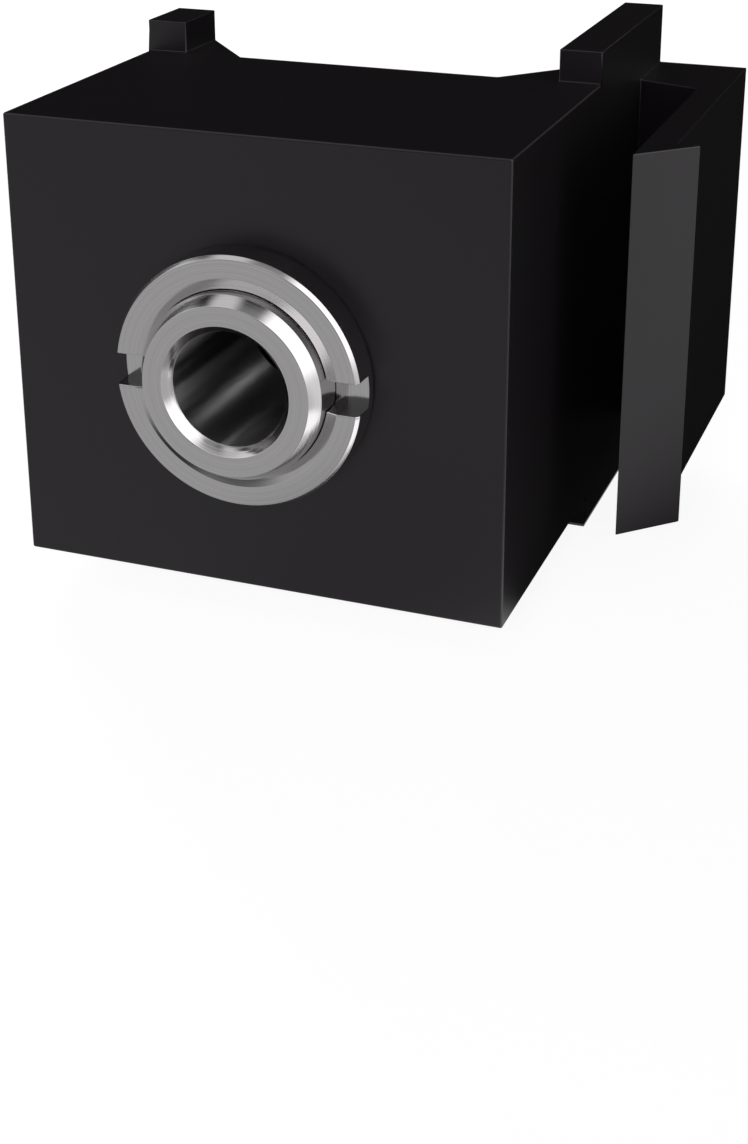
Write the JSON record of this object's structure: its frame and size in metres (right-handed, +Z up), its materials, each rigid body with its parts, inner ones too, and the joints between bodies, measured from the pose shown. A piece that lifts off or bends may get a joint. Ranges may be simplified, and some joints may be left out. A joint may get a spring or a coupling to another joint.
{
  "type": "audio jack socket",
  "caption": "Snap-in chassis socket for a 3.5 mm stereo audio plug: black moulded box with a latch arm, nickelled bush held by a slotted ring nut, and switched contact springs inside.",
  "frame": {"origin": "where the plug's axis meets the front face of the box", "axes": "-Y out of the bore towards the plug, +Y back into the box, +X to the right seen from the plug's side, where the latch arm is, +Z up"},
  "size_m": [0.0198, 0.0224, 0.0166],
  "materials": {
    "black_moulding": "satin moulded black nylon",
    "base_moulding": "satin moulded black polyester",
    "nickel_plate": "bright nickel plate on turned brass",
    "tin_plate": "satin tin plate on stamped brass",
    "spring_plate": "rolled bronze strip with nickel plate",
    "silver": "bright silver contact points"
  },
  "bodies": {
    "box": {"housing": "black_moulding", "bush": "nickel_plate", "earth_tag": "tin_plate", "contact_base": "base_moulding", "terminal_comb": "base_moulding", "tip_terminal": "tin_plate", "tip_break_terminal": "tin_plate", "tip_break_point": "silver", "ring_terminal": "tin_plate", "ring_break_terminal": "tin_plate", "ring_break_point": "silver"},
    "nut": {"ring_nut": "nickel_plate"},
    "tip_leaf": {"tip_spring": "spring_plate", "tip_spring_point": "silver"},
    "ring_leaf": {"ring_spring": "spring_plate", "ring_spring_point": "silver"}
  },
  "joints": [
    {"name": "nut_turn", "type": "hinge", "parent": "box", "child": "nut", "pos_m": [0, -0.00064, 0], "axis": [0, -1, 0], "range_deg": [0, 1350]},
    {"name": "tip_leaf_bend", "type": "hinge", "parent": "box", "child": "tip_leaf", "pos_m": [-0.00385, 0.01423, 0], "axis": [0, 0, -1], "range_deg": [0, 9], "stiffness_Nm_per_rad": 0.04},
    {"name": "ring_leaf_bend", "type": "hinge", "parent": "box", "child": "ring_leaf", "pos_m": [0.00385, 0.01423, 0], "axis": [0, 0, 1], "range_deg": [0, 5], "stiffness_Nm_per_rad": 0.1}
  ]
}
